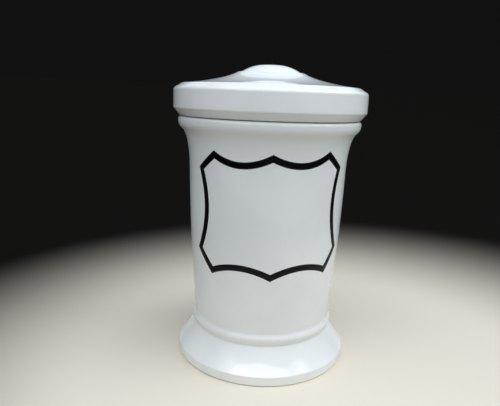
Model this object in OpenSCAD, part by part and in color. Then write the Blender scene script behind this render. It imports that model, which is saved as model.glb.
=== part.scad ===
// Porcelain ointment pot: a turned jar on a flared foot, a lid that lifts off and an enamel shield frame.
// The pot stands on z = 0 with its axis on Z, and the shield faces -Y. Sizes are in millimetres.

/* [Foot] */
// Diameter of the foot
foot_d = 107; // [102:0.5:114]
// Height of the upright band round the foot
foot_band_h = 5.8; // [4:0.1:8]
// Height of the foot, up to the groove under the bead
foot_h = 19.9; // [18:0.1:26]
// Radius of the foot's outer edges
foot_edge_r = 1.2; // [0.4:0.2:1.6]
// Width of the flat ring that the jar stands on
foot_ring_w = 7; // [5:0.5:8]
// Depth of the hollow behind the foot ring
foot_hollow_h = 6; // [2:0.5:7]
// Radius of the round in the foot's hollow
foot_hollow_r = 2.5; // [1:0.5:4]

/* [Bead] */
// Height of the bead above the foot
bead_h = 7.8; // [5.4:0.1:9]
// How far the bead stands out from the wall
bead_out = 1.2; // [0.8:0.1:1.6]
// How far the bottom of the groove under the bead stands out from the wall
groove_out = 0.3; // [0:0.1:0.6]
// Height of the bead's step in to the wall, above its widest place
bead_step_h = 4; // [2.4:0.1:4.8]

/* [Wall] */
// Outer diameter of the wall just above the bead
waist_d = 87; // [84:0.5:90]
// Outer diameter of the wall where the flare to the rim starts
neck_d = 96; // [94:0.5:98]
// How far the wall swells between waist and neck
wall_swell = 0.75; // [0:0.05:1.5]
// Thickness of the wall
wall_t = 4.5; // [3.5:0.25:6]
// Thickness of the floor
floor_t = 6; // [4:0.5:8]
// Radius of the round between floor and wall
floor_round = 10; // [4:1:13]

/* [Rim] */
// Height of the jar, up to the top of its rim
jar_h = 148.6; // [140:0.2:170]
// Width of the rim, from the mouth to its outside
rim_w = 9.7; // [8.5:0.1:11.5]
// Height of the flare and lip together
flare_h = 31; // [26:1:38]
// Height of the lip at the top of the flare
lip_h = 7.8; // [6:0.2:10]
// How far the lip stands out from the flare
lip_out = 2.8; // [1.6:0.2:4]
// Radius of the lip's top edge
lip_edge_r = 1.8; // [0.8:0.2:2.4]
// Diameter of the mouth
mouth_d = 91; // [88:0.5:93]
// Depth of the mouth's straight part
mouth_h = 12; // [10:0.5:16]
// Radius of the mouth's edge
mouth_edge_r = 1.2; // [0.4:0.2:1.6]

/* [Lid] */
// How far the lid's band stands out past the rim
lid_overhang = 2.8; // [1:0.2:5]
// How far the lid's lower edge stays inside the rim
lid_base_in = 0.6; // [0.4:0.2:1.6]
// Height of the slant from the lower edge to the band
lid_slant_h = 4.3; // [3:0.1:7]
// Height of the lid's upright band
lid_band_h = 11.2; // [8:0.1:14]
// Height of the bevel above the band
lid_bevel_h = 2.9; // [2:0.1:5]
// Width of the bevel above the band
lid_bevel_w = 4.8; // [3:0.2:8]
// Radius of the band's lower edge
band_edge_r = 1.6; // [0.6:0.2:2.4]
// Radius of the band's upper edge
bevel_edge_r = 2.4; // [1:0.2:4]
// Radius of the lid's lower edge and of the plate's edge
lid_edge_r = 0.4; // [0.2:0.1:1.2]
// How far the plate rises from the bevel to the knob
lid_rise = 7.6; // [5:0.2:10]
// Thickness of the lid under the plate
lid_t = 5; // [4:0.25:7]
// Radius of the round under the plate
ceiling_r = 2.5; // [1:0.5:4]

/* [Knob] */
// Diameter of the knob
knob_d = 35.6; // [30:0.2:44]
// Height of the knob above the plate
knob_h = 4.4; // [3:0.1:8]
// Diameter of the knob's flat crown
crown_d = 12; // [8:0.5:20]
// Width of the ledge round the knob
ledge_w = 2.4; // [0.8:0.2:3]
// Height of the ledge round the knob
ledge_h = 0.2; // [0.1:0.1:0.6]

/* [Seat] */
// How far the lid's seat lies inside the rim
seat_in = 3.2; // [2.6:0.2:4]
// Width of the lid's seat on the rim
seat_w = 2.8; // [1.6:0.2:3.4]
// Height of the shadow gap outside the seat
seat_relief = 0.5; // [0.3:0.1:0.8]
// Depth of the flange that hangs into the mouth
flange_h = 8; // [5:0.5:9]
// Thickness of the flange
flange_t = 4; // [3:0.25:6]
// Gap between the flange and the mouth
flange_gap = 0.8; // [0.4:0.1:1.4]
// Depth of the relief groove between seat and flange
groove_h = 13; // [6:0.5:14]
// Radius of the flange's and groove's edges
flange_edge_r = 1; // [0.4:0.1:1.2]

/* [Shield] */
// How far the shield's middle lies above the middle of the wall
shield_lift = 7.9; // [4:0.1:9]
// Height of the shield between its two middle points
shield_h = 71.4; // [60:0.2:74]
// Width of the shield at its upper shoulders, along the wall
shield_w = 94.6; // [84:0.2:104]
// Width of the shield at its upper tips, along the wall
shield_tip_w = 68.4; // [60:0.2:78]
// How far the lower shoulders and tips lie outside the upper ones
shield_spread = 1.9; // [0:0.1:4]
// Height of the slanted corners at the top
upper_corner_h = 10.2; // [8:0.2:15]
// Height of the slanted corners at the bottom
lower_corner_h = 13.6; // [8:0.2:16]
// How far the upper tips stand above the middle peak
tip_rise = 0.9; // [0:0.1:2]
// How far the middle point hangs below the lower tips
point_drop = 0.4; // [0:0.1:3]
// How far the shield's top and bottom edges bow inwards
shield_bow = 5; // [2:0.1:7]
// How far the shield's sides bow inwards
side_bow = 6.1; // [2:0.1:8]
// How far the shield leans over to the left, in degrees
shield_tilt = 1.2; // [-3:0.1:3]
// Width of the painted line
line_w = 3.8; // [1.5:0.1:5]
// Thickness of the enamel
enamel_t = 0.15; // [0.1:0.01:0.3]

/* [Hidden] */
$fn = 180;

porcelain = [0.9, 0.91, 0.92];
enamel = [0.03, 0.03, 0.05];

// Leans of the jar's curves at their ends, as run over rise
foot_lean = 0.81;
groove_lean = 0.53;
bead_lean = 0.3;
lip_lean = 0.88;
// Slopes of the lid's curves at their ends, as rise over run
plate_slope = 0.1;
ledge_slope = 0.58;
knob_slope = 0.76;
// How far each curve keeps straight from an end, as a share of its rise or run
foot_hold = 0.35;
groove_hold = 0.35;
bead_hold = 0.75;
crest_hold = 0.1;
step_hold = 0.5;
neck_hold = 0.6;
flare_hold = 0.1;
lip_hold = 0.29;
rim_hold = 0.58;
plate_hold = 0.24;
ledge_hold = 0.22;
knob_hold = 0.28;
crown_hold = 0.29;
// Straight steps in a curve, in a rounded edge and in the wall
curve_steps = 10;
round_steps = 4;
wall_steps = 16;

function unit(v) = v / norm(v);
function last(list) = list[len(list) - 1];
function backwards(list) = [for (i = [len(list) - 1:-1:0]) list[i]];
function turned(v, angle) = [v.x * cos(angle) - v.y * sin(angle), v.x * sin(angle) + v.y * cos(angle)];

// A shallow arc from a to b that bows to the right of its way by rise. It leaves out its own first point.
function bow(a, b, rise, steps) =
    let (across = unit([b.y - a.y, a.x - b.x]))
    [for (i = [1:steps]) let (t = i / steps) a + (b - a) * t + across * 4 * rise * t * (1 - t)];

// A smooth curve from a to d, drawn towards b and c. It leaves out its own first point.
function curve(a, b, c, d) =
    [for (i = [1:curve_steps])
        let (t = i / curve_steps, s = 1 - t)
        a * s ^ 3 + 3 * b * s ^ 2 * t + 3 * c * s * t ^ 2 + d * t ^ 3];

// The corner at b between a and c, rounded with radius r
function rounded(a, b, c, r) =
    let (
        u = unit(a - b),
        v = unit(c - b),
        half = acos(u * v) / 2,
        centre = b + unit(u + v) * r / sin(half),
        arm = b + u * r / tan(half) - centre,
        turn = sign(u.x * v.y - u.y * v.x) * (2 * half - 180)
    )
    [for (i = [0:round_steps]) centre + turned(arm, turn * i / round_steps)];

// Heights and radii that the jar, the lid and the shield share
waist_r = waist_d / 2;
mouth_r = mouth_d / 2;
rim_r = mouth_r + rim_w;
bead_top = foot_h + bead_h;

// The wall and the flare, from the bead up to the lip
waist = [waist_r, bead_top];
neck = [neck_d / 2, jar_h - flare_h];
lip = [rim_r - lip_out, jar_h - lip_h];
lip_top = [rim_r, jar_h - lip_edge_r];
lip_way = [lip_lean, 1];
flare_rise = lip.y - neck.y;
lip_rise = lip_top.y - lip.y;
wall_line = concat([waist], bow(waist, neck, wall_swell, wall_steps));
neck_way = unit(neck - wall_line[wall_steps - 1]);
flare_line = curve(neck, neck + neck_way * flare_rise * neck_hold,
    lip - lip_way * flare_rise * flare_hold, lip);
lip_line = curve(lip, lip + lip_way * lip_rise * lip_hold,
    lip_top - [0, lip_rise * rim_hold], lip_top);
outer_line = concat(wall_line, flare_line);

// The underside of the foot, its band, its flare up to the groove, and the bead
foot_r = foot_d / 2;
ring_in_r = foot_r - foot_edge_r - foot_ring_w;
foot_corner = [foot_r, foot_band_h];
foot_way = [-foot_lean, 1];
foot_rise = foot_h - foot_band_h;
groove = [waist_r + groove_out, foot_h];
hollow_corner = [ring_in_r, foot_hollow_h];
foot_edge = rounded([foot_r, 0], foot_corner, foot_corner + foot_way, foot_edge_r);
foot_line = concat(
    [[0, foot_hollow_h]],
    rounded([0, foot_hollow_h], hollow_corner, [ring_in_r, 0], min(foot_hollow_r, foot_hollow_h / 2)),
    [[ring_in_r, 0]],
    rounded([0, 0], [foot_r, 0], foot_corner, foot_edge_r),
    foot_edge,
    curve(last(foot_edge), foot_corner + foot_way * foot_rise * foot_hold,
        groove - [-groove_lean, 1] * foot_rise * groove_hold, groove)
);
bead_crest = [waist_r + bead_out, bead_top - bead_step_h];
bead_rise = bead_crest.y - groove.y;
bead_line = concat(
    curve(groove, groove + [bead_lean, 1] * bead_rise * bead_hold,
        bead_crest - [0, bead_rise * crest_hold], bead_crest),
    curve(bead_crest, bead_crest + [0, bead_step_h * step_hold], waist - [0, bead_step_h * step_hold], waist)
);

// The rim, the mouth and the inside down to the floor
floor_corner = [waist_r - wall_t, foot_hollow_h + floor_t];
floor_r = min(floor_round, bead_top - floor_corner.y);
inside_line = concat(
    rounded([rim_r, 0], [rim_r, jar_h], [0, jar_h], lip_edge_r),
    rounded([rim_r, jar_h], [mouth_r, jar_h], [mouth_r, 0], mouth_edge_r),
    [[mouth_r, jar_h - mouth_h]],
    [for (p = backwards(wall_line)) p - [wall_t, 0]],
    rounded([floor_corner.x, jar_h], floor_corner, [0, floor_corner.y], floor_r),
    [[0, floor_corner.y]]
);

module jar_body() {
    color(porcelain)
        rotate_extrude()
            polygon(concat(foot_line, bead_line, outer_line, lip_line, inside_line));
}

// The lid's outside, from the seat up to the crown
lid_r = rim_r + lid_overhang;
seat_r = rim_r - seat_in;
base_corner = [rim_r - lid_base_in, jar_h + seat_relief];
band_corner = [lid_r, base_corner.y + lid_slant_h];
bevel_corner = [lid_r, band_corner.y + lid_band_h];
plate_corner = [lid_r - lid_bevel_w, bevel_corner.y + lid_bevel_h];
plate_way = [-1, plate_slope];
plate_edge = rounded(bevel_corner, plate_corner, plate_corner + plate_way, lid_edge_r);
ledge = [knob_d / 2 + ledge_w, plate_corner.y + lid_rise];
knob = [knob_d / 2, ledge.y + ledge_h];
crown = [crown_d / 2, ledge.y + knob_h];
plate_run = plate_corner.x - ledge.x;
knob_run = knob.x - crown.x;
lid_outside = concat(
    [[seat_r - seat_w, jar_h], [seat_r, jar_h], [seat_r, base_corner.y]],
    rounded([0, base_corner.y], base_corner, band_corner, lid_edge_r),
    rounded(base_corner, band_corner, bevel_corner, band_edge_r),
    rounded(band_corner, bevel_corner, plate_corner, bevel_edge_r),
    plate_edge,
    curve(last(plate_edge), plate_corner + plate_way * plate_run * plate_hold,
        ledge - [-1, ledge_slope] * plate_run * ledge_hold, ledge),
    [knob],
    curve(knob, knob + [-1, knob_slope] * knob_run * knob_hold, crown + [knob_run * crown_hold, 0], crown),
    [[0, crown.y]]
);

// The lid's inside: the ceiling, the flange and the relief groove
flange_r = mouth_r - flange_gap;
hollow_r = flange_r - flange_t;
groove_r = seat_r - seat_w;
flange_z = jar_h - flange_h;
groove_z = jar_h + groove_h;
ceiling = [0, ledge.y - lid_t];
ceiling_corner = [hollow_r, plate_corner.y - lid_t];
lid_inside = concat(
    [ceiling],
    rounded(ceiling, ceiling_corner, [hollow_r, flange_z], ceiling_r),
    rounded(ceiling_corner, [hollow_r, flange_z], [flange_r, flange_z], flange_edge_r),
    rounded([hollow_r, flange_z], [flange_r, flange_z], [flange_r, groove_z], flange_edge_r),
    rounded([flange_r, flange_z], [flange_r, groove_z], [groove_r, groove_z], flange_edge_r),
    rounded([flange_r, groove_z], [groove_r, groove_z], [groove_r, jar_h], flange_edge_r)
);

module lid() {
    color(porcelain)
        rotate_extrude()
            polygon(concat(lid_outside, lid_inside));
}

// The shield's outer edge, laid flat: across is the way round the wall, up is the height
shield_z = (bead_top + jar_h) / 2 + shield_lift;
peak = [0, shield_h / 2];
point = [0, -shield_h / 2];
upper_tip = [shield_tip_w / 2, peak.y + tip_rise];
lower_tip = [shield_tip_w / 2 + shield_spread, point.y + point_drop];
upper_shoulder = [shield_w / 2, upper_tip.y - upper_corner_h];
lower_shoulder = [shield_w / 2 + shield_spread, lower_tip.y + lower_corner_h];
right_half = concat(
    [peak],
    bow(peak, upper_tip, shield_bow, curve_steps),
    bow(upper_tip, upper_shoulder, 0, round_steps),
    bow(upper_shoulder, lower_shoulder, side_bow, curve_steps),
    bow(lower_shoulder, lower_tip, 0, round_steps),
    bow(lower_tip, point, shield_bow, curve_steps)
);
left_half = [for (i = [len(right_half) - 2:-1:1]) [-right_half[i].x, right_half[i].y]];
shield_edge = [for (p = concat(right_half, left_half)) [0, shield_z] + turned(p, shield_tilt)];

// A loop that runs clockwise, moved inwards by d with its corners kept sharp
function inset(loop, d) =
    let (n = len(loop))
    [for (i = [0:n - 1])
        let (
            u = unit(loop[i] - loop[(i + n - 1) % n]),
            v = unit(loop[(i + 1) % n] - loop[i]),
            mitre = unit([u.y + v.y, -u.x - v.x])
        )
        loop[i] + mitre * d / (mitre * [u.y, -u.x])];

// Outer radius of the wall at height z
function wall_r(z) = lookup(z, [for (p = outer_line) [p.y, p.x]]);

// A flat loop bent round the wall, as seen from the front
function wrapped(loop) =
    [for (p = loop) let (r = wall_r(p.y)) [r * sin(p.x / r * 180 / PI), p.y]];

module label_frame() {
    color(enamel)
        intersection() {
            rotate_extrude()
                polygon(concat(outer_line, [for (p = backwards(outer_line)) p + [enamel_t, 0]]));
            rotate([90, 0, 0])
                linear_extrude(rim_r)
                    difference() {
                        polygon(wrapped(shield_edge));
                        polygon(wrapped(inset(shield_edge, line_w)));
                    }
        }
}

jar_body();
lid();
label_frame();
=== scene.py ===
"""Looks of a porcelain ointment pot: a turned jar, its lid and the shield frame painted on the wall.

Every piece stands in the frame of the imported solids, in metres, with +Z up and the shield towards -Y.
"""

import logging
import math
from dataclasses import dataclass, field
from enum import Enum
from itertools import accumulate

import bpy
from mathutils import Matrix, Vector


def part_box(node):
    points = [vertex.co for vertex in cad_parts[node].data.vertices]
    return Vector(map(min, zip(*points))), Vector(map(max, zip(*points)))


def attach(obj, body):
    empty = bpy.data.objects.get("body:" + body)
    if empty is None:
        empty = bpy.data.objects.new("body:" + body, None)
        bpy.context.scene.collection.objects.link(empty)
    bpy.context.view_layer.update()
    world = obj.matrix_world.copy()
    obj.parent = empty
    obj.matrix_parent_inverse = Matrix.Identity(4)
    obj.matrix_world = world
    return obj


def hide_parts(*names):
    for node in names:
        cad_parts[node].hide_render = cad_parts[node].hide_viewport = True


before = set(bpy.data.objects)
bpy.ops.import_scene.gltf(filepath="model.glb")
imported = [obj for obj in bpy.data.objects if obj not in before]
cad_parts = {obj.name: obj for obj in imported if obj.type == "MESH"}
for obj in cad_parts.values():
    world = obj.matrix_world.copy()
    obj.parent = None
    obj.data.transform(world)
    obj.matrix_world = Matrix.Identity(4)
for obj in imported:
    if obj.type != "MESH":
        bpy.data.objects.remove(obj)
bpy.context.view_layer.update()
MM = 0.001

Colour = tuple[float, float, float]
Place = tuple[float, float, float]
Span = tuple[float, float]
Size = tuple[float, float]
Section = list[Vector]
Feed = bpy.types.NodeSocket | float | int | str | tuple

log = logging.getLogger("ointment_pot")


class Body(Enum):
    """The bodies of the frame that the pieces ride on."""

    JAR = "jar"
    LID = "lid"


class Slot(Enum):
    """The record's material slots."""

    PORCELAIN = "porcelain"
    ENAMEL = "enamel"


def reach(node: str) -> float:
    """Return how far a turned solid reaches from the axis: the least distance to the sides of its box."""
    low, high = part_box(node)
    return min(-low.x, -low.y, high.x, high.y)


def distances(line: Section) -> list[float]:
    """Return how far along a line each of its points lies."""
    return list(accumulate(((b - a).length for a, b in zip(line, line[1:])), initial=0.0))


def bow(start: Vector, end: Vector, rise: float, steps: int) -> Section:
    """Draw a shallow arc that bows to the right of its way.

    Args:
        start: First end, which the arc leaves out.
        end: Last end.
        rise: How far the middle stands out.
        steps: Straight steps in the arc.

    Returns:
        The arc's points after its start.
    """
    way = end - start
    across = Vector((way.y, -way.x)).normalized()
    shares = [i / steps for i in range(1, steps + 1)]
    return [start + way * t + across * (4 * rise * t * (1 - t)) for t in shares]


def curve(start: Vector, towards: Vector, onto: Vector, end: Vector, steps: int) -> Section:
    """Draw a smooth curve that leaves one end and meets the other in given directions.

    Args:
        start: First end, which the curve leaves out.
        towards: Point that the curve leaves towards.
        onto: Point that the curve comes in from.
        end: Last end.
        steps: Straight steps in the curve.

    Returns:
        The curve's points after its start.
    """
    line = []
    for i in range(1, steps + 1):
        t = i / steps
        s = 1 - t
        line.append(start * s**3 + towards * (3 * s**2 * t) + onto * (3 * s * t**2) + end * t**3)
    return line


def rounded(before: Vector, corner: Vector, after: Vector, radius: float, steps: int) -> Section:
    """Round a corner.

    Args:
        before: A point on the way to the corner.
        corner: The sharp corner.
        after: A point on the way from it.
        radius: Radius of the round.
        steps: Straight steps in the round.

    Returns:
        The round's points, both ends included.
    """
    u = (before - corner).normalized()
    v = (after - corner).normalized()
    half = math.acos(max(-1.0, min(1.0, u.dot(v)))) / 2
    centre = corner + (u + v).normalized() * (radius / math.sin(half))
    arm = corner + u * (radius / math.tan(half)) - centre
    turn = math.copysign(1.0, u.x * v.y - u.y * v.x) * (2 * half - math.pi)
    return [centre + Matrix.Rotation(turn * i / steps, 2) @ arm for i in range(steps + 1)]


class Graph:
    """A node tree that is wired one node at a time."""

    def __init__(self, tree: bpy.types.NodeTree) -> None:
        """Take the tree and clear it."""
        self.tree = tree
        tree.nodes.clear()

    def add(self, kind: str, feeds: dict[str | int, Feed] | None = None, **options: object,
            ) -> bpy.types.Node:
        """Add a node.

        Args:
            kind: Blender's name for the node.
            feeds: What goes into its sockets, by name or number: another socket or a value.
            options: The node's own settings.

        Returns:
            The new node.
        """
        node = self.tree.nodes.new(kind)
        for name, value in options.items():
            setattr(node, name, value)
        for key, value in (feeds or {}).items():
            self.feed(node.inputs[key], value)
        return node

    def feed(self, socket: bpy.types.NodeSocket, value: Feed) -> None:
        """Link a socket to another, or set its value.

        Args:
            socket: The socket that is fed.
            value: Another socket, or a value.
        """
        if isinstance(value, bpy.types.NodeSocket):
            self.tree.links.new(value, socket)
        else:
            socket.default_value = value

    def math(self, operation: str, *values: Feed, clamp: bool = False) -> bpy.types.NodeSocket:
        """Work out a number.

        Args:
            operation: Blender's name for the sum.
            values: Its terms.
            clamp: Whether the result is kept from 0 to 1.

        Returns:
            The result.
        """
        feeds = dict(enumerate(values))
        return self.add("ShaderNodeMath", feeds, operation=operation, use_clamp=clamp).outputs[0]

    def vector(self, operation: str, *values: Feed) -> bpy.types.Node:
        """Work out a vector and return the node."""
        return self.add("ShaderNodeVectorMath", dict(enumerate(values)), operation=operation)

    def split(self, vector: Feed) -> tuple[bpy.types.NodeSocket, ...]:
        """Return a vector's three numbers."""
        return tuple(self.add("ShaderNodeSeparateXYZ", {0: vector}).outputs)

    def join(self, x: Feed, y: Feed, z: Feed) -> bpy.types.NodeSocket:
        """Return the vector of three numbers."""
        return self.add("ShaderNodeCombineXYZ", {0: x, 1: y, 2: z}).outputs[0]

    def ramp(self, value: Feed, low: float, high: float, to_low: float = 0.0, to_high: float = 1.0,
             ) -> bpy.types.NodeSocket:
        """Ease a number from one range to another.

        Args:
            value: The number.
            low: Where the range starts.
            high: Where it ends.
            to_low: The result at and below the start.
            to_high: The result at and above the end.

        Returns:
            The eased number.
        """
        feeds = {"Value": value, "From Min": low, "From Max": high, "To Min": to_low, "To Max": to_high}
        return self.add("ShaderNodeMapRange", feeds, interpolation_type="SMOOTHSTEP").outputs[0]


class Paint(Graph):
    """The node tree of a finish, read on the piece's own coordinates."""

    def __init__(self, name: str) -> None:
        """Make a material and start its tree.

        Args:
            name: Name of the material.
        """
        self.material = bpy.data.materials.new(name)
        self.material.use_nodes = True
        super().__init__(self.material.node_tree)
        self.place = self.add("ShaderNodeTexCoord").outputs["Object"]

    def noise(self, scale: float, detail: float = 2.0, place: bpy.types.NodeSocket | None = None,
              ) -> bpy.types.NodeSocket:
        """Make soft clouds.

        Args:
            scale: Clouds to the metre.
            detail: How many finer layers they have.
            place: Where they are read, if not on Object coordinates.

        Returns:
            A number from 0 to 1.
        """
        feeds = {"Vector": place or self.place, "Scale": scale, "Detail": detail}
        return self.add("ShaderNodeTexNoise", feeds).outputs[0]

    def mix(self, share: Feed, first: Feed, second: Feed) -> bpy.types.NodeSocket:
        """Mix two colours.

        Args:
            share: How much of the second.
            first: One colour.
            second: The other.

        Returns:
            The mixed colour.
        """
        feeds = {0: share, 6: with_alpha(first), 7: with_alpha(second)}
        return self.add("ShaderNodeMix", feeds, data_type="RGBA").outputs[2]

    def bump(self, height: bpy.types.NodeSocket, depth: float,
             under: bpy.types.NodeSocket | None = None) -> bpy.types.NodeSocket:
        """Raise and sink the surface.

        Args:
            height: The relief, from 0 to 1.
            depth: Its depth in metres.
            under: The relief below this one.

        Returns:
            The bent normal.
        """
        feeds = {"Height": height, "Distance": depth, "Strength": 1.0}
        if under is not None:
            feeds["Normal"] = under
        return self.add("ShaderNodeBump", feeds).outputs[0]

    def finish(self, feeds: dict[str, Feed]) -> bpy.types.Material:
        """Close the tree with its shader.

        Args:
            feeds: What goes into the shader's sockets, by name.

        Returns:
            The material.
        """
        shader = self.add("ShaderNodeBsdfPrincipled", feeds)
        self.add("ShaderNodeOutputMaterial", {"Surface": shader.outputs[0]})
        return self.material


def with_alpha(colour: Feed) -> Feed:
    """Give a plain colour its fourth number."""
    return (*colour, 1.0) if isinstance(colour, tuple) else colour


@dataclass(frozen=True)
class Porcelain:
    """White porcelain under a clear glaze, bare where the lid and the jar stood in the kiln."""

    white: Colour = (0.85, 0.868, 0.876)
    shade: Colour = (0.8, 0.822, 0.832)
    pooled: Colour = (0.66, 0.71, 0.72)
    thin: Colour = (0.86, 0.85, 0.825)
    biscuit: Colour = (0.7, 0.655, 0.575)
    stain: Colour = (0.36, 0.295, 0.22)
    grime: Colour = (0.17, 0.135, 0.1)
    speck: Colour = (0.2, 0.16, 0.125)
    ior: float = 1.52
    gloss: float = 0.04
    gloss_gain: float = 1.7
    gloss_scale: float = 72.0
    gloss_span: Span = (0.3, 0.75)
    matt: float = 0.62
    cloud_scale: float = 24.0
    cloud_span: Span = (0.36, 0.64)
    patch_scale: float = 336.0
    thin_share: float = 0.7
    pooled_share: float = 0.6
    fray: float = 0.5
    glaze_line: Span = (0.42, 0.58)
    gather_span: Span = (0.35, 0.65)
    gather_share: Span = (0.08, 0.4)
    stain_span: Span = (0.38, 0.76)
    soil_span: Span = (0.3, 0.66)
    soil_share: Span = (0.25, 1.0)
    speck_scale: float = 85.0
    speck_size: float = 0.022
    speck_share: float = 0.93
    speck_depth: float = 0.6
    wave_scale: float = 38.0
    wave_depth: float = 0.06 * MM
    peel_scale: float = 700.0
    peel_depth: float = 0.0015 * MM
    ring_pitch: float = 4.2 * MM
    ring_depth: float = 0.0022 * MM
    ring_drift: float = 3.0
    grain_scale: float = 2600.0
    grain_depth: float = 0.035 * MM

    def material(self) -> bpy.types.Material:
        """Build the glazed and bare porcelain as one material.

        Returns:
            The material.
        """
        paint = Paint("glazed_porcelain")
        along = paint.add("ShaderNodeAttribute", attribute_name=Turning.GLAZE)
        bare, edge, dirt = paint.split(along.outputs["Vector"])
        clouds = paint.noise(self.cloud_scale, detail=3.0)
        patches = paint.noise(self.patch_scale, detail=4.0)
        bare = self._bare(paint, bare, patches)
        colour = paint.mix(paint.ramp(clouds, *self.cloud_span), self.white, self.shade)
        colour = paint.mix(paint.ramp(edge, 0.0, 1.0, 0.0, self.thin_share), colour, self.thin)
        colour = paint.mix(paint.ramp(edge, 0.0, -1.0, 0.0, self.pooled_share), colour, self.pooled)
        colour = paint.mix(self._specks(paint), colour, self.speck)
        gathered = paint.ramp(clouds, *self.gather_span, *self.gather_share)
        stains = paint.math("MULTIPLY", paint.ramp(patches, *self.stain_span), gathered)
        stained = paint.mix(stains, self.biscuit, self.stain)
        colour = paint.mix(bare, colour, stained)
        soil = paint.ramp(patches, *self.soil_span, *self.soil_share)
        soiled = paint.math("MULTIPLY", dirt, soil, clamp=True)
        colour = paint.mix(soiled, colour, self.grime)
        worn = paint.noise(self.gloss_scale, detail=4.0)
        rough = paint.ramp(worn, *self.gloss_span, self.gloss, self.gloss * self.gloss_gain)
        rough = paint.math("ADD", rough, paint.math("MULTIPLY", bare, self.matt))
        rough = paint.math("ADD", rough, paint.math("MULTIPLY", soiled, self.matt / 2))
        relief = self._relief(paint, bare)
        feeds = {"Base Color": colour, "Roughness": rough, "IOR": self.ior, "Normal": relief}
        return paint.finish(feeds)

    def _bare(self, paint: Paint, bare: bpy.types.NodeSocket, patches: bpy.types.NodeSocket,
              ) -> bpy.types.NodeSocket:
        """Fray the glaze line.

        Args:
            paint: The finish's tree.
            bare: How bare the turned piece is along its outline.
            patches: Small clouds.

        Returns:
            How bare the porcelain is.
        """
        frayed = paint.math("ADD", bare, paint.math("MULTIPLY_ADD", patches, self.fray, -self.fray / 2))
        return paint.ramp(frayed, *self.glaze_line)

    def _specks(self, paint: Paint) -> bpy.types.NodeSocket:
        """Scatter a few iron specks.

        Args:
            paint: The finish's tree.

        Returns:
            How dark the glaze is with them.
        """
        feeds = {"Vector": paint.place, "Scale": self.speck_scale}
        cells = paint.add("ShaderNodeTexVoronoi", feeds)
        chosen = paint.add("ShaderNodeSeparateColor", {0: cells.outputs["Color"]})
        size = paint.math("MULTIPLY", chosen.outputs[1], self.speck_size)
        near = paint.math("LESS_THAN", cells.outputs["Distance"], size)
        kept = paint.math("GREATER_THAN", chosen.outputs[0], self.speck_share)
        return paint.math("MULTIPLY", paint.math("MULTIPLY", near, kept), self.speck_depth)

    def _relief(self, paint: Paint, bare: bpy.types.NodeSocket) -> bpy.types.NodeSocket:
        """Lay the glaze's waves, the faint turning rings and the bare clay's grain over each other.

        Args:
            paint: The finish's tree.
            bare: How bare the porcelain is.

        Returns:
            The bent normal.
        """
        waves = paint.bump(paint.noise(self.wave_scale, detail=1.0), self.wave_depth)
        x, y, z = paint.split(paint.place)
        square = paint.math("ADD", paint.math("MULTIPLY", x, x), paint.math("MULTIPLY", y, y))
        radius = paint.math("SQRT", square)
        clouds = paint.noise(self.cloud_scale, detail=1.0)
        drift = paint.math("MULTIPLY", clouds, self.ring_pitch * self.ring_drift)
        run = paint.math("ADD", paint.math("ADD", radius, z), drift)
        rings = paint.math("SINE", paint.math("MULTIPLY", run, 2 * math.pi / self.ring_pitch))
        turned = paint.bump(rings, self.ring_depth, waves)
        peel = paint.bump(paint.noise(self.peel_scale, detail=1.0), self.peel_depth, turned)
        grain = paint.math("MULTIPLY", paint.noise(self.grain_scale), bare)
        return paint.bump(grain, self.grain_depth, peel)


@dataclass(frozen=True)
class Enamel:
    """Black enamel, painted along the line in one pass and fired."""

    black: Colour = (0.002, 0.0022, 0.003)
    worn: Colour = (0.01, 0.011, 0.017)
    edge: Colour = (0.007, 0.0075, 0.011)
    gloss: float = 0.2
    gloss_gain: float = 1.8
    gloss_span: Span = (0.3, 0.7)
    shine: float = 0.16
    cloud_scale: float = 70.0
    cloud_span: Span = (0.4, 0.65)
    streak_span: Span = (0.45, 0.75)
    streaks_along: float = 26.0
    streaks_across: float = 2600.0
    streak_depth: float = 0.008 * MM
    edge_width: float = 0.35 * MM
    edge_share: float = 0.7

    def material(self) -> bpy.types.Material:
        """Build the enamel with its brush streaks and thin edges.

        Returns:
            The material.
        """
        paint = Paint("fired_enamel")
        flat = paint.add("ShaderNodeUVMap", uv_map=Painting.LAID_FLAT).outputs[0]
        _, across, _ = paint.split(flat)
        stretch = (self.streaks_along, self.streaks_across, 0.0)
        streaks = paint.noise(1.0, place=paint.vector("MULTIPLY", flat, stretch).outputs[0])
        faint = paint.ramp(paint.noise(self.cloud_scale), *self.cloud_span)
        worn = paint.math("MULTIPLY", paint.ramp(streaks, *self.streak_span), faint)
        half = Shield.line_w / 2
        thin = paint.ramp(paint.math("ABSOLUTE", across), half - self.edge_width, half)
        colour = paint.mix(worn, self.black, self.worn)
        colour = paint.mix(paint.math("MULTIPLY", thin, self.edge_share), colour, self.edge)
        rough = paint.ramp(streaks, *self.gloss_span, self.gloss, self.gloss * self.gloss_gain)
        relief = paint.bump(streaks, self.streak_depth)
        feeds = {"Base Color": colour, "Roughness": rough, "Specular IOR Level": self.shine,
                 "Normal": relief}
        return paint.finish(feeds)


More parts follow.
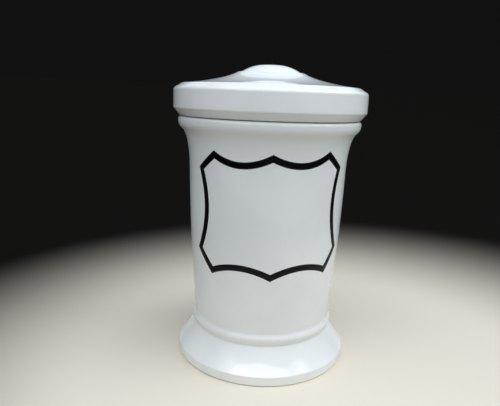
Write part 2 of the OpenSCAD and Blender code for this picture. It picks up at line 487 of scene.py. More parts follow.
@dataclass(frozen=True)
class Sweep:
    """Matt paint of the studio sweep: a painted pool of light, pale on the floor round the pot and fading
    to dark paint further out and up into the wall.
    """

    pale: Colour = (0.775, 0.71, 0.61)
    faded: Colour = (0.75, 0.69, 0.595)
    # The dark paint beyond the painted pool of light: painted falloff, not a real darker floor.
    painted_dark_falloff: Colour = (0.007, 0.0065, 0.006)
    cloud_scale: float = 1.6
    cloud_span: Span = (0.35, 0.65)
    middle: Place = (0.03, -0.02, 0.0)
    painted_pool_r: float = 0.13
    painted_falloff_r: float = 0.28

    def material(self) -> bpy.types.Material:
        """Build the sweep's paint.

        Returns:
            The material.
        """
        paint = Paint("studio_paint")
        flat = paint.vector("MULTIPLY", paint.place, (1.0, 1.0, 0.0)).outputs[0]
        away = paint.vector("DISTANCE", flat, self.middle).outputs["Value"]
        clouds = paint.ramp(paint.noise(self.cloud_scale), *self.cloud_span)
        colour = paint.mix(clouds, self.pale, self.faded)
        # Painted pool of light: pale round the pot, fading to dark paint further out, in place of the
        # light falling off.
        colour = paint.mix(paint.ramp(away, self.painted_pool_r, self.painted_falloff_r), colour, self.painted_dark_falloff)
        return paint.finish({"Base Color": colour, "Roughness": 1.0, "Specular IOR Level": 0.0})


class ShapeTree(Graph):
    """A geometry tree with named inputs, which a modifier runs on a drawn mesh."""

    def __init__(self, name: str, inputs: dict[str, str]) -> None:
        """Start the tree and keep the identifiers of its inputs.

        Args:
            name: Name of the tree.
            inputs: Blender's names for the kinds of its inputs, by name, after the drawn mesh.
        """
        super().__init__(bpy.data.node_groups.new(name, "GeometryNodeTree"))
        face = self.tree.interface
        face.new_socket("Drawn", in_out="INPUT", socket_type="NodeSocketGeometry")
        self.keys = {}
        for key, kind in inputs.items():
            self.keys[key] = face.new_socket(key, in_out="INPUT", socket_type=kind).identifier
        face.new_socket("Shaped", in_out="OUTPUT", socket_type="NodeSocketGeometry")

    def close(self, shape: bpy.types.NodeSocket, finish: bpy.types.NodeSocket) -> None:
        """End the tree: smooth and realise what it holds, set its material and put it out.

        Args:
            shape: The shaped mesh.
            finish: Its material.
        """
        shape = self.add("GeometryNodeSetShadeSmooth", {"Geometry": shape}).outputs[0]
        shape = self.add("GeometryNodeRealizeInstances", {"Geometry": shape}).outputs[0]
        shape = self.add("GeometryNodeSetMaterial", {"Geometry": shape, "Material": finish}).outputs[0]
        self.add("NodeGroupOutput", {0: shape})

    def run(self, name: str, drawn: bpy.types.Mesh, **settings: object) -> bpy.types.Object:
        """Run the tree on a drawn mesh.

        Args:
            name: Name of the piece.
            drawn: The mesh that the tree takes.
            settings: The values of the tree's inputs, by name.

        Returns:
            The shaped piece as a plain mesh.
        """
        piece = bpy.data.objects.new(name, drawn)
        bpy.context.scene.collection.objects.link(piece)
        modifier = piece.modifiers.new(self.tree.name, "NODES")
        modifier.node_group = self.tree
        for key, value in settings.items():
            modifier[self.keys[key]] = value
        depsgraph = bpy.context.evaluated_depsgraph_get()
        made = piece.evaluated_get(depsgraph)
        mesh = bpy.data.meshes.new_from_object(made, preserve_all_data_layers=True, depsgraph=depsgraph)
        piece.modifiers.clear()
        piece.data = mesh
        mesh.name = piece.name
        return piece


class Turning(ShapeTree):
    """The wheel: a node tree that turns a half section into a closed, smooth piece."""

    GLAZE = "glaze"
    FACETS = 192
    WELD = 0.002 * MM

    def __init__(self) -> None:
        """Wire the tree: lay a grid, roll it round the axis along the section, weld it and dress it."""
        super().__init__("turning", {"facets": "NodeSocketInt", "finish": "NodeSocketMaterial"})
        section, facets, finish, _ = self.add("NodeGroupInput").outputs
        size = self.add("GeometryNodeAttributeDomainSize", {0: section}, component="MESH")
        count = size.outputs["Point Count"]
        columns = self.math("ADD", facets, 1.0)
        feeds = {"Size X": 1.0, "Size Y": 1.0, "Vertices X": columns, "Vertices Y": count}
        sheet = self.add("GeometryNodeMeshGrid", feeds)
        here = self.add("GeometryNodeInputPosition").outputs[0]
        # The grid is 1 wide and high about its middle, so half more makes both ways run from 0 to 1.
        across, along, _ = self.split(here)
        angle = self.math("MULTIPLY", self.math("ADD", across, 0.5), 2 * math.pi)
        steps = self.math("SUBTRACT", count, 1.0)
        row = self.math("ROUND", self.math("MULTIPLY", self.math("ADD", along, 0.5), steps))
        radius, _, height = self.split(self._pick(section, here, row))
        glaze = self.add("GeometryNodeInputNamedAttribute", {"Name": self.GLAZE}, data_type="FLOAT_VECTOR")
        coat = self._pick(section, glaze.outputs[0], row)
        x = self.math("MULTIPLY", radius, self.math("COSINE", angle))
        y = self.math("MULTIPLY", radius, self.math("SINE", angle))
        store = "GeometryNodeStoreNamedAttribute"
        feeds = {"Geometry": sheet.outputs["Mesh"], "Name": "UVMap", "Value": sheet.outputs["UV Map"]}
        shape = self.add(store, feeds, data_type="FLOAT2", domain="CORNER").outputs[0]
        feeds = {"Geometry": shape, "Name": self.GLAZE, "Value": coat}
        shape = self.add(store, feeds, data_type="FLOAT_VECTOR", domain="POINT").outputs[0]
        feeds = {"Geometry": shape, "Position": self.join(x, y, height)}
        shape = self.add("GeometryNodeSetPosition", feeds).outputs[0]
        feeds = {"Geometry": shape, "Distance": self.WELD}
        shape = self.add("GeometryNodeMergeByDistance", feeds).outputs[0]
        self.close(shape, finish)

    def _pick(self, section: bpy.types.NodeSocket, value: bpy.types.NodeSocket, row: bpy.types.NodeSocket,
              ) -> bpy.types.NodeSocket:
        """Read a value of the section at one of its points.

        Args:
            section: The half section.
            value: What is read.
            row: The point's number.

        Returns:
            The value there.
        """
        feeds = {"Geometry": section, "Value": value, "Index": row}
        sample = self.add("GeometryNodeSampleIndex", feeds, data_type="FLOAT_VECTOR", domain="POINT")
        return sample.outputs[0]

    def turn(self, name: str, section: Section, glaze: list[Vector], finish: bpy.types.Material,
             ) -> bpy.types.Object:
        """Turn a half section.

        Args:
            name: Name of the piece.
            section: Radius and height of each point, from the axis outwards or from axis to axis.
            glaze: At each point, how bare it is, how sharp its edge is and how much dirt it holds.
            finish: The piece's material.

        Returns:
            The turned piece as a plain mesh.
        """
        mesh = bpy.data.meshes.new(name + "_section")
        edges = [(i, i + 1) for i in range(len(section) - 1)]
        mesh.from_pydata([(p.x, 0.0, p.y) for p in section], edges, [])
        coat = mesh.attributes.new(self.GLAZE, "FLOAT_VECTOR", "POINT")
        coat.data.foreach_set("vector", [x for g in glaze for x in g])
        return self.run(name, mesh, facets=self.FACETS, finish=finish)


class Painting(ShapeTree):
    """The brush: a node tree that lays a flat painted strip round a wall."""

    LAID_FLAT = "laid_flat"
    # The rays start this far in front of the axis, and run just beside the edges of the wall's facets.
    REACH = 0.2
    OFF_SEAM = 0.2 * MM

    def __init__(self) -> None:
        """Wire the tree: find the wall at each height, bend the strip round it and dress it."""
        super().__init__("painting", {"wall": "NodeSocketObject", "depth": "NodeSocketFloat",
                                      "finish": "NodeSocketMaterial"})
        strip, wall, depth, finish, _ = self.add("NodeGroupInput").outputs
        way, lift, height = self.split(self.add("GeometryNodeInputPosition").outputs[0])
        target = self.add("GeometryNodeObjectInfo", {"Object": wall}, transform_space="ORIGINAL")
        feeds = {"Target Geometry": target.outputs["Geometry"],
                 "Source Position": self.join(self.OFF_SEAM, -self.REACH, height),
                 "Ray Direction": (0.0, 1.0, 0.0), "Ray Length": self.REACH}
        hit = self.add("GeometryNodeRaycast", feeds)
        _, hit_y, _ = self.split(hit.outputs["Hit Position"])
        _, lean_y, lean_z = self.split(hit.outputs["Hit Normal"])
        radius = self.math("MULTIPLY", hit_y, -1.0)
        angle = self.math("DIVIDE", way, radius)
        rise = self.math("MULTIPLY", lift, depth)
        out = self.math("SUBTRACT", radius, self.math("MULTIPLY", rise, lean_y))
        up = self.math("ADD", height, self.math("MULTIPLY", rise, lean_z))
        x = self.math("MULTIPLY", out, self.math("SINE", angle))
        y = self.math("MULTIPLY", self.math("MULTIPLY", out, self.math("COSINE", angle)), -1.0)
        feeds = {"Geometry": strip, "Position": self.join(x, y, up)}
        self.close(self.add("GeometryNodeSetPosition", feeds).outputs[0], finish)


@dataclass
class Turned:
    """What the two turned pieces share: how finely they are drawn and how the glaze lies along them."""

    curve_steps: int = 26
    round_steps: int = 8
    wall_steps: int = 36
    hold_line: float = 0.14 * MM
    hold_room: float = 0.42 * MM
    long_step: float = 4.0 * MM
    sharp_turn: float = math.radians(1.2)
    glaze_reach: float = 0.9 * MM
    edge_gain: float = 1.1 * MM
    touch: float = 0.02 * MM
    seam_dirt: float = 0.12

    def held(self, line: Section) -> Section:
        """Add points beside each turn and along long straights, so that flat stretches shade flat.

        Args:
            line: The section as it is drawn.

        Returns:
            The section with the added points.
        """
        ways = [(b - a).normalized() for a, b in zip(line, line[1:])]
        turns = [0.0, *(a.angle(b, 0.0) for a, b in zip(ways, ways[1:])), 0.0]
        full = [line[0]]
        for i, way in enumerate(ways):
            start, end = line[i], line[i + 1]
            length = (end - start).length
            room = length > self.hold_room
            if room and turns[i] > self.sharp_turn:
                full.append(start + way * self.hold_line)
            pieces = max(1, math.ceil(length / self.long_step))
            full += [start + way * (length * k / pieces) for k in range(1, pieces)]
            if room and turns[i + 1] > self.sharp_turn:
                full.append(end - way * self.hold_line)
            full.append(end)
        return full

    def edges(self, line: Section) -> list[float]:
        """Work out where the glaze runs thin over edges and pools in corners.

        Args:
            line: The section, drawn with the clay on its left.

        Returns:
            At each point a number from -1, a tight corner, to 1, a sharp edge.
        """
        runs = distances(line)
        bends = [0.0] * len(line)
        for i in range(1, len(line) - 1):
            before, after = line[i] - line[i - 1], line[i + 1] - line[i]
            if before.length > 0 and after.length > 0:
                bends[i] = -before.angle_signed(after, 0.0)
        smooth = []
        for here in runs:
            near = [b * math.exp(-(((r - here) / self.glaze_reach) ** 2)) for r, b in zip(runs, bends)]
            smooth.append(sum(near) / (self.glaze_reach * math.sqrt(math.pi)))
        return [max(-1.0, min(1.0, s * self.edge_gain)) for s in smooth]


@dataclass
class Jar(Turned):
    """The jar: a flared foot, a bead, a wall that widens to a flared rim, and its inside."""

    rim_r: float = field(default_factory=lambda: reach("jar_body"))
    rim_z: float = field(default_factory=lambda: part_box("jar_body")[1].z)
    foot_r: float = 53.5 * MM
    foot_band_h: float = 5.8 * MM
    foot_h: float = 19.9 * MM
    foot_edge_r: float = 1.2 * MM
    foot_ring_w: float = 7 * MM
    foot_hollow_h: float = 6 * MM
    foot_hollow_r: float = 2.5 * MM
    foot_lean: float = 0.81
    foot_hold: float = 0.35
    groove_lean: float = 0.53
    groove_hold: float = 0.35
    bead_h: float = 7.8 * MM
    bead_out: float = 1.2 * MM
    groove_out: float = 0.3 * MM
    bead_step_h: float = 4 * MM
    bead_lean: float = 0.3
    bead_hold: float = 0.75
    crest_hold: float = 0.1
    step_hold: float = 0.5
    waist_r: float = 43.5 * MM
    neck_r: float = 48 * MM
    wall_swell: float = 0.75 * MM
    wall_t: float = 4.5 * MM
    floor_t: float = 6 * MM
    floor_round: float = 10 * MM
    flare_h: float = 31 * MM
    neck_hold: float = 0.6
    flare_hold: float = 0.1
    lip_h: float = 7.8 * MM
    lip_out: float = 2.8 * MM
    lip_edge_r: float = 1.8 * MM
    lip_lean: float = 0.88
    lip_hold: float = 0.29
    rim_hold: float = 0.58
    rim_w: float = 9.7 * MM
    mouth_h: float = 12 * MM
    mouth_edge_r: float = 1.2 * MM
    seam_reach: float = 1.6 * MM

    @property
    def bead_top(self) -> float:
        """Height of the bead's upper edge."""
        return self.foot_h + self.bead_h

    @property
    def mouth_r(self) -> float:
        """Radius of the mouth."""
        return self.rim_r - self.rim_w

    def wall(self) -> Section:
        """Draw the outside of the wall.

        Returns:
            The points from the bead to the neck.
        """
        waist = Vector((self.waist_r, self.bead_top))
        neck = Vector((self.neck_r, self.rim_z - self.flare_h))
        return [waist, *bow(waist, neck, self.wall_swell, self.wall_steps)]

    def foot(self) -> Section:
        """Draw the underside, the foot's band and flare, and the bead.

        Returns:
            The points from the middle of the underside to the wall.
        """
        steps = self.round_steps
        ring_in_r = self.foot_r - self.foot_edge_r - self.foot_ring_w
        corner = Vector((self.foot_r, self.foot_band_h))
        way = Vector((-self.foot_lean, 1.0))
        rise = self.foot_h - self.foot_band_h
        groove = Vector((self.waist_r + self.groove_out, self.foot_h))
        middle = Vector((0.0, self.foot_hollow_h))
        hollow = Vector((ring_in_r, self.foot_hollow_h))
        ring_in = Vector((ring_in_r, 0.0))
        ring_out = Vector((self.foot_r, 0.0))
        edge = rounded(ring_out, corner, corner + way, self.foot_edge_r, steps)
        out = corner + way * (rise * self.foot_hold)
        into = groove - Vector((-self.groove_lean, 1.0)) * (rise * self.groove_hold)
        return [
            middle,
            *rounded(middle, hollow, ring_in, self.foot_hollow_r, steps),
            ring_in,
            *rounded(ring_in, ring_out, corner, self.foot_edge_r, steps),
            *edge,
            *curve(edge[-1], out, into, groove, self.curve_steps),
            *self.bead(groove),
        ]

    def bead(self, groove: Vector) -> Section:
        """Draw the bead: it swells out of the groove and steps in to the wall.

        Args:
            groove: The bottom of the groove under the bead.

        Returns:
            The points between the groove and the wall.
        """
        waist = Vector((self.waist_r, self.bead_top))
        crest = Vector((self.waist_r + self.bead_out, self.bead_top - self.bead_step_h))
        rise = crest.y - groove.y
        step = Vector((0.0, self.bead_step_h * self.step_hold))
        return [
            *curve(groove, groove + Vector((self.bead_lean, 1.0)) * (rise * self.bead_hold),
                   crest - Vector((0.0, rise * self.crest_hold)), crest, self.curve_steps),
            *curve(crest, crest + step, waist - step, waist, self.curve_steps)[:-1],
        ]

    def rim(self, wall: Section) -> Section:
        """Draw the flare and the rolled lip above the wall.

        Args:
            wall: The wall's outside.

        Returns:
            The points after the wall's last.
        """
        neck = wall[-1]
        lip = Vector((self.rim_r - self.lip_out, self.rim_z - self.lip_h))
        top = Vector((self.rim_r, self.rim_z - self.lip_edge_r))
        lean = Vector((self.lip_lean, 1.0))
        way = (neck - wall[-2]).normalized()
        flare_rise = lip.y - neck.y
        lip_rise = top.y - lip.y
        return [
            *curve(neck, neck + way * (flare_rise * self.neck_hold),
                   lip - lean * (flare_rise * self.flare_hold), lip, self.curve_steps),
            *curve(lip, lip + lean * (lip_rise * self.lip_hold),
                   top - Vector((0.0, lip_rise * self.rim_hold)), top, self.curve_steps),
        ]

    def inside(self, wall: Section) -> Section:
        """Draw the rim's top, the mouth and the inside down to the floor.

        Args:
            wall: The wall's outside.

        Returns:
            The points from the rim's outer edge to the middle of the floor.
        """
        steps = self.round_steps
        rim = Vector((self.rim_r, self.rim_z))
        mouth = Vector((self.mouth_r, self.rim_z))
        inner = [p - Vector((self.wall_t, 0.0)) for p in reversed(wall)]
        corner = Vector((self.waist_r - self.wall_t, self.foot_hollow_h + self.floor_t))
        middle = Vector((0.0, corner.y))
        return [
            *rounded(Vector((self.rim_r, 0.0)), rim, mouth, self.lip_edge_r, steps)[1:],
            *rounded(rim, mouth, Vector((self.mouth_r, 0.0)), self.mouth_edge_r, steps),
            Vector((self.mouth_r, self.rim_z - self.mouth_h)),
            *inner,
            *rounded(Vector((corner.x, self.rim_z)), corner, middle, self.floor_round, steps * 2),
            middle,
        ]

    def glaze(self, line: Section) -> list[Vector]:
        """Say where the jar is bare, where its edges are and where dirt sits.

        Args:
            line: The whole section.

        Returns:
            The three numbers at each point.
        """
        coats = []
        for p, edge in zip(line, self.edges(line)):
            on_ring = p.y < self.touch
            on_rim = p.y > self.rim_z - self.touch
            seam = max(0.0, 1 - (self.rim_z - p.y) / self.seam_reach) if p.x > self.mouth_r else 0.0
            coats.append(Vector((float(on_ring or on_rim), edge, self.seam_dirt * seam * seam)))
        return coats

    def build(self, wheel: Turning, finish: bpy.types.Material) -> bpy.types.Object:
        """Turn the jar and set it in the frame of the solids.

        Args:
            wheel: The turning tree.
            finish: The porcelain.

        Returns:
            The jar.
        """
        wall = self.wall()
        line = self.held([*self.foot(), *wall, *self.rim(wall), *self.inside(wall)])
        piece = wheel.turn("glazed_jar", line, self.glaze(line), finish)
        return settle(piece, Body.JAR, "jar_body")


@dataclass
class Lid(Turned):
    """The lid: a slanted base, an upright band, a bevelled plate, a button knob and its flange."""

    jar: Jar = field(default_factory=Jar)
    lid_r: float = field(default_factory=lambda: reach("lid"))
    crown_z: float = field(default_factory=lambda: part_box("lid")[1].z)
    flange_z: float = field(default_factory=lambda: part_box("lid")[0].z)
    base_in: float = 0.6 * MM
    slant_h: float = 4.3 * MM
    band_h: float = 11.2 * MM
    bevel_h: float = 2.9 * MM
    bevel_w: float = 4.8 * MM
    band_edge_r: float = 1.6 * MM
    bevel_edge_r: float = 2.4 * MM
    edge_r: float = 0.4 * MM
    lid_t: float = 5 * MM
    ceiling_r: float = 2.5 * MM
    plate_slope: float = 0.1
    plate_hold: float = 0.24
    ledge_slope: float = 0.58
    ledge_hold: float = 0.22
    knob_r: float = 17.8 * MM
    knob_h: float = 4.4 * MM
    knob_slope: float = 0.76
    knob_hold: float = 0.28
    crown_r: float = 6 * MM
    crown_hold: float = 0.29
    ledge_w: float = 2.4 * MM
    ledge_h: float = 0.2 * MM
    seat_in: float = 3.2 * MM
    seat_w: float = 2.8 * MM
    seat_relief: float = 0.5 * MM
    flange_t: float = 4 * MM
    flange_gap: float = 0.8 * MM
    groove_h: float = 13 * MM
    flange_edge_r: float = 1 * MM
    seam_reach: float = 1.2 * MM

    def outside(self) -> Section:
        """Draw the seat, the slanted base, the band, the plate and the knob.

        Returns:
            The points from the seat's inner edge to the middle of the crown.
        """
        steps = self.round_steps
        seat_z = self.jar.rim_z
        seat_r = self.jar.rim_r - self.seat_in
        base = Vector((self.jar.rim_r - self.base_in, seat_z + self.seat_relief))
        band = Vector((self.lid_r, base.y + self.slant_h))
        bevel = Vector((self.lid_r, band.y + self.band_h))
        plate = Vector((self.lid_r - self.bevel_w, bevel.y + self.bevel_h))
        way = Vector((-1.0, self.plate_slope))
        plate_edge = rounded(bevel, plate, plate + way, self.edge_r, steps)
        ledge = Vector((self.knob_r + self.ledge_w, self.crown_z - self.knob_h))
        knob = Vector((self.knob_r, ledge.y + self.ledge_h))
        crown = Vector((self.crown_r, self.crown_z))
        plate_run = plate.x - ledge.x
        knob_run = knob.x - crown.x
        out = plate + way * (plate_run * self.plate_hold)
        into = ledge - Vector((-1.0, self.ledge_slope)) * (plate_run * self.ledge_hold)
        return [
            Vector((seat_r - self.seat_w, seat_z)),
            Vector((seat_r, seat_z)),
            Vector((seat_r, base.y)),
            *rounded(Vector((0.0, base.y)), base, band, self.edge_r, steps),
            *rounded(base, band, bevel, self.band_edge_r, steps),
            *rounded(band, bevel, plate, self.bevel_edge_r, steps * 2),
            *plate_edge,
            *curve(plate_edge[-1], out, into, ledge, self.curve_steps),
            knob,
            *curve(knob, knob + Vector((-1.0, self.knob_slope)) * (knob_run * self.knob_hold),
                   crown + Vector((knob_run * self.crown_hold, 0.0)), crown, self.curve_steps),
            Vector((0.0, self.crown_z)),
        ]

    def inside(self, outside: Section) -> Section:
        """Draw the groove beside the seat, the flange and the ceiling.

        Args:
            outside: The lid's outside, from its seat to its crown.

        Returns:
            The points from the middle of the ceiling to the groove.
        """
        steps = self.round_steps
        seat = outside[0]
        plate_z = self.jar.rim_z + self.seat_relief + self.slant_h + self.band_h + self.bevel_h
        flange_r = self.jar.mouth_r - self.flange_gap
        hollow_r = flange_r - self.flange_t
        groove_z = self.jar.rim_z + self.groove_h
        ceiling = Vector((0.0, self.crown_z - self.knob_h - self.lid_t))
        corner = Vector((hollow_r, plate_z - self.lid_t))
        tip_in = Vector((hollow_r, self.flange_z))
        tip_out = Vector((flange_r, self.flange_z))
        groove_in = Vector((flange_r, groove_z))
        groove_out = Vector((seat.x, groove_z))
        return [
            ceiling,
            *rounded(ceiling, corner, tip_in, self.ceiling_r, steps),
            *rounded(corner, tip_in, tip_out, self.flange_edge_r, steps),
            *rounded(tip_in, tip_out, groove_in, self.flange_edge_r, steps),
            *rounded(tip_out, groove_in, groove_out, self.flange_edge_r, steps),
            *rounded(groove_in, groove_out, seat, self.flange_edge_r, steps),
        ]

    def glaze(self, line: Section) -> list[Vector]:
        """Say where the lid is bare, where its edges are and where dirt sits.

        Args:
            line: The whole section.

        Returns:
            The three numbers at each point.
        """
        seat_z = self.jar.rim_z
        coats = []
        for p, edge in zip(line, self.edges(line)):
            on_seat = abs(p.y - seat_z) < self.touch and p.x > self.jar.mouth_r
            base = p.y - seat_z - self.seat_relief
            seam = max(0.0, 1 - abs(base) / self.seam_reach) if p.x > self.jar.mouth_r else 0.0
            coats.append(Vector((float(on_seat), edge, self.seam_dirt * seam * seam)))
        return coats

    def build(self, wheel: Turning, finish: bpy.types.Material) -> bpy.types.Object:
        """Turn the lid and set it in the frame of the solids.

        Args:
            wheel: The turning tree.
            finish: The porcelain.

        Returns:
            The lid.
        """
        outside = self.outside()
        inside = self.inside(outside)
        line = self.held([*inside, *outside])
        piece = wheel.turn("glazed_lid", line, self.glaze(line), finish)
        return settle(piece, Body.LID, "lid")


def settle(piece: bpy.types.Object, body: Body, node: str) -> bpy.types.Object:
    """Put a finished piece in the frame of the solids, in place of its own.

    Args:
        piece: The piece.
        body: The body that it rides on.
        node: The solid that it stands for.

    Returns:
        The piece.
    """
    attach(piece, body.value)
    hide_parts(node)
    return piece


@dataclass
class Shield:
    """The shield frame: a painted line with pointed tips and bowed edges on the front of the wall."""

    top_z: float = field(default_factory=lambda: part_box("label_frame")[1].z)
    height: float = 71.4 * MM
    shoulder_w: float = 94.6 * MM
    tip_w: float = 68.4 * MM
    spread: float = 1.9 * MM
    upper_corner_h: float = 10.2 * MM
    lower_corner_h: float = 13.6 * MM
    tip_rise: float = 0.9 * MM
    point_drop: float = 0.4 * MM
    edge_bow: float = 5 * MM
    side_bow: float = 6.1 * MM
    tilt: float = math.radians(1.2)
    line_w: float = 3.8 * MM
    paint_t: float = 0.12 * MM
    long_steps: int = 30
    short_steps: int = 10
    rows: int = 8
    top_power: int = 6

    def edge(self) -> Section:
        """Draw the shield's outer edge.

        Returns:
            The points, clockwise from the middle peak.
        """
        peak = Vector((0.0, self.height / 2))
        point = Vector((0.0, -self.height / 2))
        upper_tip = Vector((self.tip_w / 2, peak.y + self.tip_rise))
        lower_tip = Vector((self.tip_w / 2 + self.spread, point.y + self.point_drop))
        upper_shoulder = Vector((self.shoulder_w / 2, upper_tip.y - self.upper_corner_h))
        lower_shoulder = Vector((self.shoulder_w / 2 + self.spread, lower_tip.y + self.lower_corner_h))
        right = [
            peak,
            *bow(peak, upper_tip, self.edge_bow, self.long_steps),
            *bow(upper_tip, upper_shoulder, 0.0, self.short_steps),
            *bow(upper_shoulder, lower_shoulder, self.side_bow, self.long_steps),
            *bow(lower_shoulder, lower_tip, 0.0, self.short_steps),
            *bow(lower_tip, point, self.edge_bow, self.long_steps),
        ]
        left = [Vector((-p.x, p.y)) for p in reversed(right[1:-1])]
        loop = [Matrix.Rotation(self.tilt, 2) @ p for p in right + left]
        lift = Vector((0.0, self.top_z - max(p.y for p in loop)))
        return [p + lift for p in loop]

    def inset(self, loop: Section, depth: float) -> Section:
        """Move a clockwise loop inwards with its corners kept sharp.

        Args:
            loop: The loop.
            depth: How far it moves.

        Returns:
            The moved loop.
        """
        moved = []
        for i, here in enumerate(loop):
            u = (here - loop[i - 1]).normalized()
            v = (loop[(i + 1) % len(loop)] - here).normalized()
            mitre = Vector((u.y + v.y, -u.x - v.x)).normalized()
            moved.append(here + mitre * (depth / mitre.dot(Vector((u.y, -u.x)))))
        return moved

    def strip(self) -> bpy.types.Mesh:
        """Build the line flat, as a closed strip with a rounded top.

        Returns:
            The strip, with its way along and across kept as its UV map.
        """
        outer = self.edge()
        inner = self.inset(outer, self.line_w)
        count = len(outer)
        runs = distances([*outer, outer[0]])
        places, faces, flat = [], [], []
        for k in range(self.rows + 1):
            share = k / self.rows
            lift = 1 - (2 * share - 1) ** self.top_power
            for a, b in zip(outer, inner):
                p = a + (b - a) * share
                places.append((p.x, lift, p.y))
        for k in range(self.rows + 1):
            below = (k + 1) % (self.rows + 1)
            low = (k / self.rows - 0.5) * self.line_w
            high = (below / self.rows - 0.5) * self.line_w
            for i in range(count):
                j = (i + 1) % count
                faces.append((k * count + i, below * count + i, below * count + j, k * count + j))
                flat += [runs[i], low, runs[i], high, runs[i + 1], high, runs[i + 1], low]
        mesh = bpy.data.meshes.new("shield_strip")
        mesh.from_pydata(places, [], faces)
        mesh.uv_layers.new(name=Painting.LAID_FLAT).data.foreach_set("uv", flat)
        return mesh

    def build(self, brush: Painting, wall: bpy.types.Object, finish: bpy.types.Material,
              ) -> bpy.types.Object:
        """Paint the line on the wall and set it in the frame of the solids.

        Args:
            brush: The painting tree.
            wall: The jar.
            finish: The enamel.

        Returns:
            The painted line.
        """
        piece = brush.run("shield_line", self.strip(), wall=wall, depth=self.paint_t, finish=finish)
        return settle(piece, Body.JAR, "label_frame")


@dataclass(frozen=True)
class Lamp:
    """A soft lamp: where it hangs, what it faces, its width and height, its watts and its light."""

    name: str
    place: Place
    aim: Place
    size: Size
    power: float
    colour: Colour

    def hang(self) -> None:
        """Hang the lamp."""
        data = bpy.data.lights.new(self.name, "AREA")
        data.shape = "RECTANGLE"
        data.size, data.size_y = self.size
        data.energy = self.power
        data.color = self.colour
        lamp = bpy.data.objects.new(self.name, data)
        lamp.location = self.place
        way = Vector(self.aim) - Vector(self.place)
        lamp.rotation_euler = way.to_track_quat("-Z", "Y").to_euler()
        bpy.context.scene.collection.objects.link(lamp)


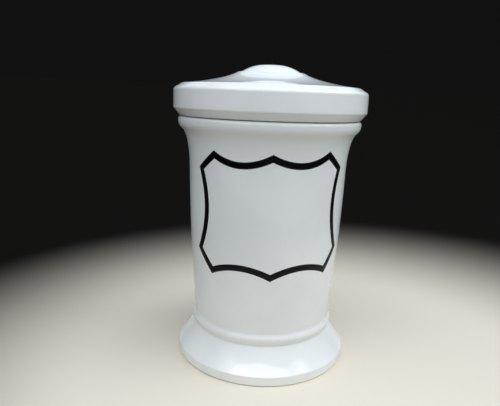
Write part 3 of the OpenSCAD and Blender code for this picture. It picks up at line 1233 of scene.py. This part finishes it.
@dataclass
class Studio:
    """The sweep, the soft light and the camera."""

    floor_r: float = 0.12
    cove_r: float = 0.5
    cove_turn: float = math.radians(50)
    cove_steps: int = 32
    sky: Colour = (0.006, 0.006, 0.006)
    overhead: Lamp = Lamp(
        "overhead", (0.15, -0.55, 1.25), (0.15, -0.55, 0.25), (3.2, 1.4), 27.6, (0.87, 0.94, 0.98))
    arc_degrees: tuple[float, ...] = (-50.0, -16.0, 18.0, 52.0, 86.0)
    arc_rise: float = math.radians(43.8)
    arc_reach: float = 1.55
    arc_aim: Place = (0.0, -0.05, 0.01)
    arc_size: Size = (0.684, 0.16)
    arc_power: float = 1.12
    arc_colour: Colour = (1.0, 0.97, 0.98)
    around: tuple[Lamp, ...] = (
        Lamp("fill", (0.0, -1.5, 0.35), (0.0, -0.05, 0.09), (2.6, 0.6), 9.2, (0.9, 0.96, 1.0)),
        Lamp("right", (1.05, 0.0, 1.05), (0.0, 0.0, 0.09), (1.5, 0.7), 6.0, (0.87, 0.93, 1.0)),
        Lamp("left", (-1.0, -0.35, 1.0), (0.0, 0.0, 0.09), (1.5, 0.7), 1.6, (0.8, 0.92, 1.0)),
        Lamp("back", (0.1, 1.3, 1.0), (0.1, 0.0, 0.17), (2.6, 0.5), 2.6, (0.6, 0.82, 1.0)),
    )
    image_w: int = 500
    focal_px: float = 480.47
    sensor: float = 36.0
    near: float = 0.01
    stand: Place = (-0.0226, -0.2970, 0.1599)
    heading: float = math.radians(2.436)
    pitch: float = 0.2144
    roll: float = 0.0362

    def sweep(self, wheel: Turning) -> None:
        """Turn the pale floor and the wall that it runs up into.

        Args:
            wheel: The turning tree.
        """
        section = [Vector((0.0, 0.0))]
        for i in range(self.cove_steps + 1):
            turn = self.cove_turn * i / self.cove_steps
            out = self.floor_r + self.cove_r * math.sin(turn)
            section.append(Vector((out, self.cove_r * (1 - math.cos(turn)))))
        glaze = [Vector((0.0, 0.0, 0.0))] * len(section)
        piece = wheel.turn("sweep", section, glaze, Sweep().material())

    def light_sky(self) -> None:
        """Light the open top of the sweep evenly."""
        world = bpy.data.worlds.new("studio")
        world.use_nodes = True
        bpy.context.scene.world = world
        graph = Graph(world.node_tree)
        glow = graph.add("ShaderNodeBackground", {"Color": with_alpha(self.sky), "Strength": 1.0})
        graph.add("ShaderNodeOutputWorld", {"Surface": glow.outputs[0]})

    def arc(self) -> list[Lamp]:
        """Line up the strips of the arc that shines along the foot.

        Returns:
            The strips, from left to right.
        """
        foot = Vector(self.arc_aim)
        raised = Vector((0.0, -math.cos(self.arc_rise), math.sin(self.arc_rise)))
        strips = []
        for k, turn in enumerate(self.arc_degrees):
            place = foot + Matrix.Rotation(math.radians(turn), 3, "Z") @ raised * self.arc_reach
            strips.append(Lamp(f"front_{k}", tuple(place), self.arc_aim, self.arc_size, self.arc_power,
                               self.arc_colour))
        return strips

    def camera(self) -> None:
        """Stand the camera where the photograph was taken."""
        forward = Vector((math.sin(self.heading) * math.cos(self.pitch),
                          math.cos(self.heading) * math.cos(self.pitch), -math.sin(self.pitch)))
        level = Vector((math.cos(self.heading), -math.sin(self.heading), 0.0))
        upright = level.cross(forward)
        right = level * math.cos(self.roll) + upright * math.sin(self.roll)
        up = upright * math.cos(self.roll) - level * math.sin(self.roll)
        data = bpy.data.cameras.new("camera")
        data.sensor_width = self.sensor
        data.lens = self.focal_px / self.image_w * self.sensor
        data.clip_start = self.near
        camera = bpy.data.objects.new("camera", data)
        turned = Matrix((right, up, -forward)).transposed()
        camera.matrix_world = Matrix.Translation(Vector(self.stand)) @ turned.to_4x4()
        bpy.context.scene.collection.objects.link(camera)
        bpy.context.scene.camera = camera

    def build(self, wheel: Turning) -> None:
        """Set up the sweep, the light and the camera.

        Args:
            wheel: The turning tree.
        """
        self.sweep(wheel)
        self.light_sky()
        for lamp in (self.overhead, *self.arc(), *self.around):
            lamp.hang()
        self.camera()
        bpy.context.scene.view_settings.view_transform = "Standard"


def main() -> None:
    """Build the pot's pieces in order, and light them."""
    logging.basicConfig(level=logging.INFO, format="%(message)s")
    porcelain = Porcelain().material()
    enamel = Enamel().material()
    wheel = Turning()
    brush = Painting()
    jar = Jar()
    glazed_jar = jar.build(wheel, porcelain)
    glazed_lid = Lid(jar=jar).build(wheel, porcelain)
    shield_line = Shield().build(brush, glazed_jar, enamel)
    for piece in (glazed_jar, glazed_lid, shield_line):
        log.info("%s: %d faces", piece.name, len(piece.data.polygons))
    Studio().build(wheel)


if __name__ == "__main__":
    main()
